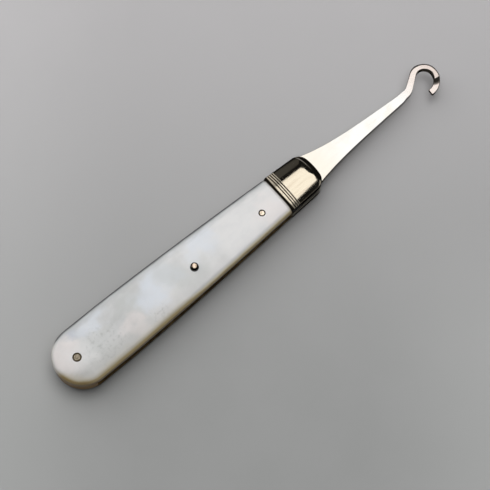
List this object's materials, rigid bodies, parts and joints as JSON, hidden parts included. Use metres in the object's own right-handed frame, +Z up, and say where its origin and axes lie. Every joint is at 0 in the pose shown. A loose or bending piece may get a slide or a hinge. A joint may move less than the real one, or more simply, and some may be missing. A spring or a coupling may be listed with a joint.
{
  "type": "folding button hook",
  "caption": "Folding button hook: a curled steel hook on a pivot, sprung open, that folds into a slim handle with mother-of-pearl scales and polished bolsters.",
  "frame": {"origin": "on the pivot's axis, at the plane that the handle's underside rests on", "axes": "+X along the handle towards the opened hook, +Y towards the back spring, +Z up out of the front scale, along the pivot"},
  "size_m": [0.1033, 0.0126, 0.0071],
  "materials": {
    "pearl": "polished mother of pearl, cloudy white with faint blue, pink and green",
    "liner_brass": "tarnished",
    "nickel_silver": "polished, lightly worn",
    "spring_steel": "dull, filed",
    "hook_steel": "polished, lightly worn",
    "rivet_steel": "worn head with a dark edge",
    "rivet_worn": "dull and tarnished",
    "pin_brass": "bright, with a grime line round it"
  },
  "bodies": {
    "handle": {"front_scale": "pearl", "rear_scale": "pearl", "front_liner": "liner_brass", "rear_liner": "liner_brass", "front_bolster": "nickel_silver", "rear_bolster": "nickel_silver", "back_spring": "spring_steel", "pivot_pin": "nickel_silver", "centre_pin": "rivet_steel", "end_pin": "rivet_worn", "front_scale_pin": "pin_brass", "rear_scale_pin": "pin_brass"},
    "hook": {"hook": "hook_steel"}
  },
  "joints": [
    {"name": "hook_fold", "type": "hinge", "parent": "handle", "child": "hook", "pos_m": [0, 0, 0.0032], "axis": [0, 0, -1], "range_deg": [0, 173.5]}
  ]
}
